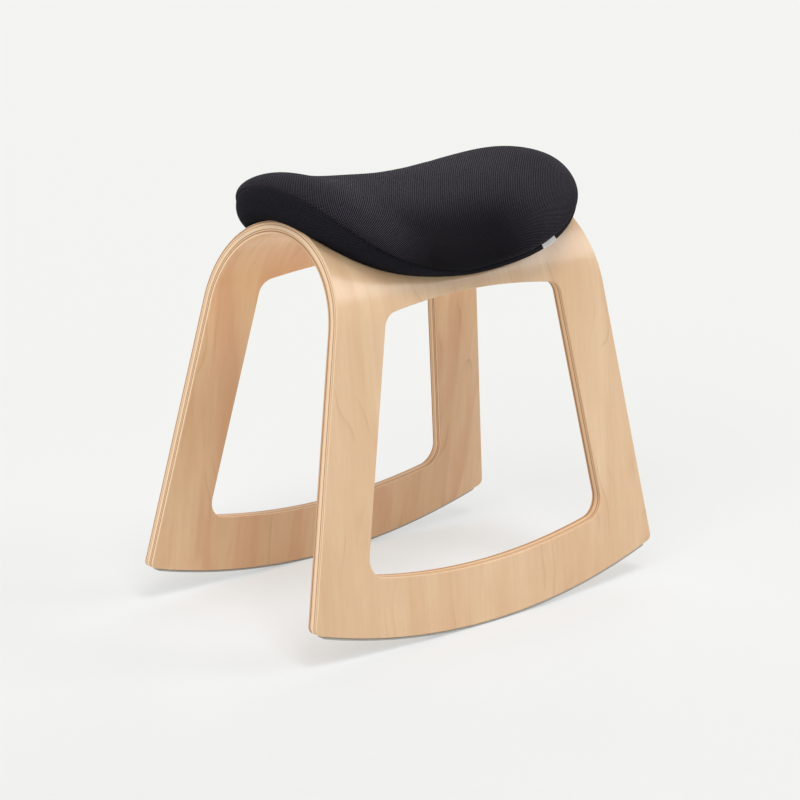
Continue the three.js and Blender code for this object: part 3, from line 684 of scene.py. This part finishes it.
def build_dust_cloth():
    """The thin sheet under the seat board, held at its edge by the band's hem."""
    rings = []
    for rise, shares in ((DUST_BOTTOM, DUST_SHARES), (DUST_TOP, DUST_SHARES[::-1])):
        for share in shares:
            rings.append(in_space(under_place(HEM_WIDTH + CLEARANCE, rise, share)))
    points, faces = loft(rings, on_shell(0, 0, DUST_BOTTOM)[None], on_shell(0, 0, DUST_TOP)[None])
    obj = make_object("dust_cloth_sheet", points, faces, sharp=60)
    face_out(obj)
    return obj


def tab_section():
    """The folded tab's section: how far out and how far through each point lies, from 0 to 1."""
    turns = np.radians(np.arange(0, 181, 20))
    fold = [(1 - TAB_FOLD_SHARE * (1 - math.sin(a)), 0.5 - 0.5 * math.cos(a)) for a in turns]
    back = [(t, 1.0) for t in TAB_FLAT_SHARES[::-1]]
    return [(t, 0.0) for t in TAB_FLAT_SHARES] + fold + back


def build_tab():
    """A blank folded tab that stands out from the seam on the right side near the +X end."""
    away = (1 - TAB_PLACE**SEAT_N) ** (1 / SEAT_N)
    middle = math.atan2(-away, TAB_PLACE)
    step = 1e-3
    pair = in_space(band_place(np.array([middle - step, middle + step]), 1.0))
    speed = np.linalg.norm(pair[1] - pair[0]) / (2 * step)
    across = np.linspace(-0.5, 0.5, TAB_COLUMNS)
    directions = middle + TAB_LENGTH / speed * across
    out = face_normal(band_place, directions, 1.0, 1)
    seam = in_space(band_place(directions, 1.0))
    down = unit(in_space(band_place(directions, 1 - TANGENT_STEP)) - seam)
    along = out * math.sin(TAB_FLARE) + down * math.cos(TAB_FLARE)
    over = out * math.cos(TAB_FLARE) - down * math.sin(TAB_FLARE)
    across = across[:, None]
    columns, cloth = [], []
    for t, w in tab_section():
        sag = TAB_SAG * t * np.cos(across * math.pi * 2)
        columns.append(seam + out * CLEARANCE + along * t * TAB_WIDTH + over * (w * TAB_THICKNESS + sag))
        cloth.append(np.column_stack([
            across * TAB_LENGTH, np.full(TAB_COLUMNS, t * TAB_WIDTH), np.full(TAB_COLUMNS, w),
        ]))
    rings = list(np.stack(columns, 1))
    marks = list(np.stack(cloth, 1))
    points, faces = loft(rings, rings[0].mean(0), rings[-1].mean(0))
    marks = np.vstack(marks + [marks[0].mean(0), marks[-1].mean(0)])
    obj = make_object("blank_tab", points, faces, attributes={"cloth": marks}, sharp=50)
    face_out(obj)
    return obj


# Materials
class Graph:
    """Short names for the nodes that the materials are made of."""

    def __init__(self, tree):
        self.tree = tree

    def put(self, kind, inputs=(), **props):
        node = self.tree.nodes.new(kind)
        for key, value in props.items():
            setattr(node, key, value)
        for key, value in dict(inputs).items():
            self.feed(node.inputs[key], value)
        return node

    def feed(self, socket, value):
        if isinstance(value, bpy.types.NodeSocket):
            self.tree.links.new(value, socket)
        elif isinstance(value, bpy.types.Node):
            self.tree.links.new(value.outputs[0], socket)
        else:
            socket.default_value = value

    def math(self, operation, *values):
        return self.put("ShaderNodeMath", enumerate(values), operation=operation).outputs[0]

    def times(self, a, b):
        return self.math("MULTIPLY", a, b)

    def over(self, a, b):
        return self.math("DIVIDE", a, b)

    def attribute(self, name):
        node = self.put("ShaderNodeAttribute", attribute_name=name)
        parts = self.put("ShaderNodeSeparateXYZ", {0: node.outputs["Vector"]})
        return parts.outputs

    def place(self, x, y, z):
        return self.put("ShaderNodeCombineXYZ", {0: x, 1: y, 2: z}).outputs[0]

    def noise(self, vector, scale=1.0, detail=3.0, rough=0.5, distortion=0.0):
        node = self.put("ShaderNodeTexNoise", {
            "Vector": vector, "Scale": scale, "Detail": detail, "Roughness": rough,
            "Distortion": distortion,
        })
        return node.outputs[0]

    def span(self, value, low, high, to_low=0.0, to_high=1.0, smooth=False):
        node = self.put("ShaderNodeMapRange", {0: value, 1: low, 2: high, 3: to_low, 4: to_high})
        if smooth:
            node.interpolation_type = "SMOOTHSTEP"
        return node.outputs[0]

    def ramp(self, value, stops):
        node = self.put("ShaderNodeValToRGB", {0: value})
        elements = node.color_ramp.elements
        while len(elements) < len(stops):
            elements.new(0.5)
        for element, (at, color) in zip(elements, stops):
            element.position = at
            element.color = (*color, 1)
        return node.outputs[0]

    def blend(self, share, a, b, mode="MIX"):
        node = self.put("ShaderNodeMix", data_type="RGBA", blend_type=mode)
        sockets = [s for s in node.inputs if s.enabled]
        for socket, value in zip(sockets, (share, a, b)):
            self.feed(socket, value if not isinstance(value, tuple) else (*value, 1))
        return [s for s in node.outputs if s.enabled][0]

    def bump(self, height, distance, strength):
        """Surface detail of that depth in metres."""
        inputs = {"Height": height, "Distance": distance, "Strength": strength}
        return self.put("ShaderNodeBump", inputs).outputs[0]

    def surface(self, shader, color, height, distance, strength=0.5):
        """Gives the shader its colour and its relief."""
        self.feed(shader.inputs["Base Color"], color)
        self.feed(shader.inputs["Normal"], self.bump(height, distance, strength))


def linear(r, g, b):
    """Scene colour of an 8-bit picture colour."""
    def channel(value):
        return value / 12.92 if value <= 0.0404 else ((value + 0.055) / 1.055) ** 2.4
    return tuple(channel(c / 255) for c in (r, g, b))


def material(name, **values):
    """A new material with a Principled shader and those values on its sockets."""
    mat = bpy.data.materials.new(name)
    mat.use_nodes = True
    tree = mat.node_tree
    tree.nodes.clear()
    out = tree.nodes.new("ShaderNodeOutputMaterial")
    shader = tree.nodes.new("ShaderNodeBsdfPrincipled")
    tree.links.new(shader.outputs[0], out.inputs[0])
    for key, value in values.items():
        shader.inputs[key.replace("_", " ")].default_value = value
    return mat, Graph(tree), shader


# The inner face's shift in the grain, which makes it a different veneer
INNER_FACE = 37.0
# Where the cut edge begins below a face, and the width of a joint between two plies
CUT_START, CUT_FULL, PLY_JOINT = 0.35, 0.7, 0.22


def wood_faces(g, x, girth, side):
    """Colour and height of a rotary-cut birch face, whose grain runs round the bend."""
    def noise(width, length, offset=0.0, **values):
        shift = g.math("ADD", side, offset) if offset else side
        return g.noise(g.place(g.over(x, width), g.over(girth, length), shift), **values)

    off_crown = g.math("ABSOLUTE", girth)
    broad = noise(52.0, 300.0, detail=2, distortion=0.3)
    streak = noise(6.0, 260.0, detail=3, rough=0.6, distortion=0.1)
    fibre = noise(0.8, 30.0, detail=2, rough=0.6)
    blotch = noise(24.0, 70.0, 21.0, detail=2)
    base = g.blend(g.span(broad, 0.36, 0.66), linear(230, 198, 160), linear(221, 184, 144))
    base = g.blend(g.span(blotch, 0.45, 0.75, 0.0, 0.35), base, linear(222, 178, 142))
    base = g.blend(g.span(streak, 0.4, 0.75, 0.0, 0.22), base, linear(206, 163, 121))
    # soft flames, mostly on the inner face
    flame = noise(34.0, 210.0, 13.0, detail=3, rough=0.4, distortion=0.6)
    flame = g.times(g.span(flame, 0.47, 0.62, smooth=True), g.span(side, 0.0, INNER_FACE, 0.1, 0.42))
    base = g.blend(flame, base, linear(212, 158, 120))
    # contour lines of the yearly rings, in patches
    warp = noise(95.0, 260.0, 3.0, detail=2, rough=0.4)
    rings = g.math("FRACT", g.over(g.math("MULTIPLY_ADD", warp, 230.0, x), 31.0))
    patch = noise(60.0, 120.0, 9.0, detail=2)
    line = g.times(g.math("POWER", rings, 9.0), g.span(patch, 0.48, 0.66, smooth=True))
    base = g.blend(g.times(line, 0.36), base, linear(176, 124, 84))
    base = g.blend(g.span(fibre, 0.4, 0.75, 0.0, 0.08), base, linear(178, 132, 92))
    # rare small flecks
    fleck = g.put("ShaderNodeTexVoronoi", {
        "Vector": g.place(g.over(x, 9.0), g.over(girth, 22.0), side), "Scale": 1.0, "Randomness": 1.0,
    })
    rare = noise(33.0, 60.0, 4.0, detail=1)
    spot = g.span(fleck.outputs["Distance"], 0.035, 0.07, 1.0, 0.0, smooth=True)
    spot = g.times(spot, g.span(rare, 0.55, 0.63))
    base = g.blend(g.times(spot, 0.5), base, linear(150, 98, 62))
    # painted shade: the sheet is darker and warmer towards its feet; its inner face has painted light,
    # lighter at the crown, and painted shade, darker and warmer below it
    foot = g.span(off_crown, 330.0, 560.0, smooth=True)
    base = g.blend(foot, base, g.blend(1.0, base, (0.96, 0.93, 0.90), "MULTIPLY"))
    below = g.span(off_crown, 90.0, 330.0, smooth=True)
    painted_light_and_shade_tint = g.blend(below, (1.20, 1.12, 0.97), (0.99, 0.96, 0.90))
    base = g.blend(g.over(side, INNER_FACE), base, g.blend(1.0, base, painted_light_and_shade_tint, "MULTIPLY"))
    return base, fibre


def ply_stops(*bands):
    """Colour stops for bands given as (depth where it ends, colour), with soft joints."""
    stops, start = [], 0.0
    for end, tone in bands:
        stops += [((start + PLY_JOINT) / PLY, tone), ((end - PLY_JOINT) / PLY, tone)]
        start = end
    return stops


def cut_plies(g, x, girth, depth):
    """Colour and height of the cut edges, where the plies show; they differ from leg to leg."""
    pale, light, mid, tan, dark = (
        linear(252, 222, 187), linear(246, 212, 174), linear(233, 197, 159),
        linear(219, 179, 140), linear(178, 122, 82),
    )
    wander = g.noise(g.place(g.over(x, 40.0), g.over(girth, 40.0), 5.0), 1, 2)
    level = g.over(g.math("MULTIPLY_ADD", g.math("SUBTRACT", wander, 0.5), 0.8, depth), PLY)
    # painted highlight: the pale band next to a face, at the outer face on the near leg and at the inner
    # face on the far leg, stands in for light on the eased corner; the pale bands in the middle are a light
    # ply
    near = g.ramp(level, ply_stops(
        (1.5, pale), (2.8, tan), (4.6, light), (5.7, dark),
        (9.6, pale), (11.2, mid), (12.5, dark), (PLY, tan),
    ))
    far = g.ramp(level, ply_stops(
        (1.1, light), (2.3, dark), (4.2, light), (5.2, tan), (8.9, pale),
        (10.0, dark), (11.3, light), (12.5, dark), (PLY, pale),
    ))
    leg = g.span(girth, -90.0, 90.0, smooth=True)
    plies = g.blend(leg, near, far)
    ends = g.noise(g.place(g.over(x, 2.2), g.over(girth, 2.2), g.over(depth, 0.6)), 1, 2, 0.6)
    plies = g.blend(g.span(ends, 0.4, 0.75, 0.0, 0.14), plies, linear(170, 120, 80))
    # painted shade: the windows' edges are darker than the sheet's own ends, by leg and by sill and
    # upright, most of all at the far leg's sill
    off_crown = g.math("ABSOLUTE", girth)
    from_middle = g.math("MULTIPLY_ADD", off_crown, -math.tan(RAKE), g.math("ABSOLUTE", x))
    sill = g.blend(leg, (0.75, 0.68, 0.57), (0.60, 0.52, 0.44))
    upright = g.blend(leg, (0.80, 0.76, 0.70), (0.98, 0.94, 0.88))
    painted_window_shade = g.blend(g.span(off_crown, 430.0, 490.0, smooth=True), upright, sill)
    plies_in_painted_shade = g.blend(1.0, plies, painted_window_shade, "MULTIPLY")
    return g.blend(g.span(from_middle, 135.0, 145.0, 1.0, 0.0), plies, plies_in_painted_shade), ends


def birch():
    mat, g, shader = material("lacquered_birch", Roughness=0.42, Coat_Weight=0.7, Coat_Roughness=0.2)
    shader.inputs["Specular IOR Level"].default_value = 0.3
    x, girth, depth = g.attribute("sheet")
    side = g.times(g.math("GREATER_THAN", depth, PLY / 2), INNER_FACE)
    face, fibre = wood_faces(g, x, girth, side)
    plies, ends = cut_plies(g, x, girth, depth)
    below_face = g.span(depth, CUT_START, CUT_FULL)
    cut = g.times(below_face, g.span(depth, PLY - CUT_FULL, PLY - CUT_START, 1.0, 0.0))
    g.surface(shader, g.blend(cut, face, plies), g.blend(cut, fibre, ends), 0.00004)
    # the cut edges have less lacquer than the faces
    rough = g.span(fibre, 0.3, 0.8, 0.36, 0.5)
    g.feed(shader.inputs["Roughness"], g.math("MULTIPLY_ADD", cut, 0.3, rough))
    g.feed(shader.inputs["Coat Weight"], g.math("MULTIPLY_ADD", cut, -0.65, 0.7))
    return mat


def raw_ply():
    mat, g, shader = material("raw_board", Roughness=0.7)
    spot = g.put("ShaderNodeTexCoord").outputs["Object"]
    x, y, z = g.put("ShaderNodeSeparateXYZ", {0: spot}).outputs
    grain = g.noise(g.place(g.times(x, 9.0), g.times(y, 160.0), z), 1, 3, 0.6)
    color = g.blend(g.span(grain, 0.35, 0.7), linear(214, 180, 138), linear(188, 146, 104))
    g.surface(shader, color, grain, 0.0001)
    return mat


def mesh_cloth(g, u, v, along, across, tones):
    """Colour and height of a spacer mesh, a diagonal lattice of small open cells."""
    a = g.times(u, 2 * math.pi / along)
    b = g.times(v, 2 * math.pi / across)
    first = g.math("COSINE", g.math("ADD", a, b))
    second = g.math("COSINE", g.math("SUBTRACT", a, b))
    knot = g.span(g.math("ADD", first, second), -0.6, 1.4, 0.0, 1.0, smooth=True)
    strand = g.noise(g.place(g.over(u, 0.5), g.over(v, 0.6), 2.0), 1, 2, 0.6)
    heather = g.noise(g.place(g.over(u, 3.0), g.over(v, 5.0), 7.0), 1, 3, 0.6)
    hole, shade, dark, light = tones
    tone = g.blend(g.span(heather, 0.35, 0.7), dark, light)
    tone = g.blend(g.span(strand, 0.4, 0.7, 0.0, 0.5), tone, shade)
    return g.blend(knot, hole, tone), g.math("MULTIPLY_ADD", strand, 0.15, knot)


def knit():
    mat, g, shader = material("seat_knit", Roughness=0.9, Sheen_Weight=0.02, Sheen_Roughness=0.35)
    shader.inputs["Sheen Tint"].default_value = (*linear(190, 180, 200), 1)
    shader.inputs["Specular IOR Level"].default_value = 0.05
    u, v, seam = g.attribute("cloth")
    tones = linear(9, 8, 11), linear(36, 34, 40), linear(75, 71, 80), linear(89, 84, 95)
    color, height = mesh_cloth(g, u, v, MESH_ALONG, MESH_ACROSS, tones)
    # painted shade: the cloth is darker along the seam, where its edge rolls under, and on the drape down
    # the long sides, less towards the +X end and none at the -X end
    painted_side_shade = g.span(g.math("ABSOLUTE", v), 60.0, 135.0, smooth=True)
    painted_side_shade = g.times(painted_side_shade, g.span(u, -160.0, -80.0, smooth=True))
    painted_side_shade = g.times(painted_side_shade, g.span(u, 20.0, 110.0, 1.0, 0.15, smooth=True))
    shaded = g.span(seam, 1.0, 14.0, 0.8, 1.0, smooth=True)
    shaded = g.times(shaded, g.span(painted_side_shade, 0.0, 1.0, 1.0, 0.28))
    color = g.blend(1.0, color, g.place(shaded, shaded, shaded), "MULTIPLY")
    g.surface(shader, color, height, 0.0006)
    return mat


def band_cloth():
    mat, g, shader = material("band_cloth", Roughness=0.9, Sheen_Weight=0.01, Sheen_Roughness=0.4)
    shader.inputs["Sheen Tint"].default_value = (*linear(170, 175, 215), 1)
    shader.inputs["Specular IOR Level"].default_value = 0.05
    u, v, rise = g.attribute("cloth")
    tones = linear(12, 12, 15), linear(21, 21, 26), linear(44, 44, 52), linear(54, 53, 63)
    color, height = mesh_cloth(g, u, v, BAND_MESH_ALONG, BAND_MESH_ACROSS, tones)
    # painted shade: darker towards the hem, low on the band where it turns under
    shaded = g.span(rise, 2.0, 20.0, 0.45, 1.0, smooth=True)
    color = g.blend(1.0, color, g.place(shaded, shaded, shaded), "MULTIPLY")
    g.surface(shader, color, height, 0.0003)
    return mat


def liner():
    mat, g, shader = material("liner_cloth", Roughness=0.95)
    spot = g.put("ShaderNodeTexCoord").outputs["Object"]
    fuzz = g.noise(spot, 900.0, 3, 0.6)
    g.surface(shader, g.blend(fuzz, linear(34, 34, 36), linear(52, 52, 54)), fuzz, 0.0003, 0.6)
    return mat


def tab_cloth():
    mat, g, shader = material("tab_weave", Roughness=0.85)
    x, y, _ = g.attribute("cloth")
    warp, weft = (g.math("SINE", g.times(way, 2 * math.pi / TAB_THREAD)) for way in (x, y))
    weave = g.times(warp, weft)
    color = g.blend(g.span(weave, -1, 1), linear(247, 246, 243), linear(254, 253, 251))
    g.surface(shader, color, weave, 0.0001)
    return mat


def grip():
    """Cork-like rubber under the rockers, fine grained."""
    mat, g, shader = material("grip_strip", Roughness=0.8)
    spot = g.put("ShaderNodeTexCoord").outputs["Object"]
    grain = g.noise(spot, 1400.0, 3, 0.7)
    color = g.blend(g.span(grain, 0.35, 0.65), linear(150, 151, 146), linear(186, 187, 181))
    g.surface(shader, color, grain, 0.0002, 0.6)
    return mat


def zinc():
    mat, g, shader = material("zinc_plate", Metallic=1.0, Roughness=0.34)
    spot = g.put("ShaderNodeTexCoord").outputs["Object"]
    cloud = g.noise(spot, 260.0, 4, 0.65)
    color = g.blend(g.span(cloud, 0.35, 0.7), linear(196, 198, 203), linear(172, 175, 181))
    g.surface(shader, color, cloud, 0.00003)
    g.feed(shader.inputs["Roughness"], g.span(cloud, 0.3, 0.7, 0.28, 0.42))
    return mat


# Pieces of the scene and the nodes that they stand for
def dress(obj, mat, slot, *nodes):
    """Gives a piece its material and its body, and the nodes that it replaces; slot is not used."""
    obj.data.materials.clear()
    obj.data.materials.append(mat)
    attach(obj, "root")
    if nodes:
        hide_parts(*nodes)
    return obj


dress(build_frame(), birch(), "ply", "bentwood_frame")
grip_mat = grip()
dress(build_strip("grip_strip_left", 1), grip_mat, "floor_strip", "floor_strip_left")
dress(build_strip("grip_strip_right", -1), grip_mat, "floor_strip", "floor_strip_right")
seat_top = dress(build_seat_top(), knit(), "knit", "cover_top_panel", "seat_foam")
seat_band = dress(build_band(), band_cloth(), "band_cloth", "cover_side_band")
dust = dress(build_dust_cloth(), liner(), "liner", "dust_cloth")
dress(build_tab(), tab_cloth(), "tab", "sewn_tab")

board_mat, zinc_mat = raw_ply(), zinc()
for name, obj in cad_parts.items():
    if name == "seat_board":
        obj.data.materials.clear()
        obj.data.materials.append(board_mat)
    elif name.startswith(("seat_bolt", "bolt_washer", "tee_nut")):
        obj.data.materials.clear()
        obj.data.materials.append(zinc_mat)


# Floor, backdrop and light
FLOOR_REACH = 30.0
SHADOW_SHARE = 0.5


def seen_rays(g):
    """1 for the rays that see the backdrop: from the camera, by reflection or through glass."""
    path = g.put("ShaderNodeLightPath")
    seen = g.math("MAXIMUM", path.outputs["Is Camera Ray"], path.outputs["Is Glossy Ray"])
    return g.math("MAXIMUM", seen, path.outputs["Is Transmission Ray"])


def build_floor():
    mesh = bpy.data.meshes.new("floor")
    corners = [(x * FLOOR_REACH, y * FLOOR_REACH, 0) for x, y in ((-1, -1), (1, -1), (1, 1), (-1, 1))]
    mesh.from_pydata(corners, [], [(0, 1, 2, 3)])
    obj = bpy.data.objects.new("floor", mesh)
    scene.collection.objects.link(obj)
    mat, g, shader = material("floor_paint", Roughness=0.9)
    shader.inputs["Specular IOR Level"].default_value = 0.1
    spot = g.put("ShaderNodeTexCoord").outputs["Object"]
    away = g.put("ShaderNodeVectorMath", {0: spot}, operation="LENGTH").outputs["Value"]
    # painted colour of light: the floor is bluer and a little lighter near the stool, against the warm
    # light that the wood throws into its shadow
    far = g.span(away, 0.15, 0.9, smooth=True)
    g.feed(shader.inputs["Base Color"], g.blend(far, linear(235, 237, 240), linear(233, 234, 231)))
    # half of the pale backdrop's own colour is seen here, which keeps the shadows light
    glow = g.put("ShaderNodeEmission", {0: (*linear(242, 243, 240), 1), 1: 1.0})
    share = g.times(seen_rays(g), SHADOW_SHARE)
    both = g.put("ShaderNodeMixShader", {0: share, 1: shader.outputs[0], 2: glow.outputs[0]})
    g.tree.links.new(both.outputs[0], g.tree.nodes["Material Output"].inputs[0])
    mesh.materials.append(mat)


def soft_light(name, azimuth, elevation, spread, power):
    """A wide, distant lamp, even over the whole floor, in degrees; azimuth 0 is in front, at -Y."""
    data = bpy.data.lights.new(name, "SUN")
    data.angle = math.radians(spread)
    data.energy = power
    obj = bpy.data.objects.new(name, data)
    scene.collection.objects.link(obj)
    a, e = math.radians(azimuth), math.radians(elevation)
    toward = Vector((math.sin(a) * math.cos(e), -math.cos(a) * math.cos(e), math.sin(e)))
    obj.location = toward * 3
    obj.rotation_mode = "QUATERNION"
    obj.rotation_quaternion = (-toward).to_track_quat("-Z", "Y")


def build_world():
    """A plain white fill on the object and a pale backdrop where it is seen."""
    world = bpy.data.worlds.new("studio")
    scene.world = world
    world.use_nodes = True
    tree = world.node_tree
    tree.nodes.clear()
    g = Graph(tree)
    fill = g.put("ShaderNodeBackground", {0: (1.0, 1.0, 1.0, 1), 1: 0.34})
    shown = g.put("ShaderNodeBackground", {0: (*linear(242, 242, 240), 1), 1: 1.0})
    both = g.put("ShaderNodeMixShader", {0: seen_rays(g), 1: fill.outputs[0], 2: shown.outputs[0]})
    out = g.put("ShaderNodeOutputWorld")
    tree.links.new(both.outputs[0], out.inputs[0])


build_floor()
build_world()
soft_light("left_light", -63, 40, 40, 1.1)
soft_light("top_light", -15, 66, 20, 0.95)
soft_light("right_light", 120, 26, 34, 0.62)
soft_light("gloss_light", 52, 33, 26, 0.62)
soft_light("back_light", 165, 38, 40, 0.32)
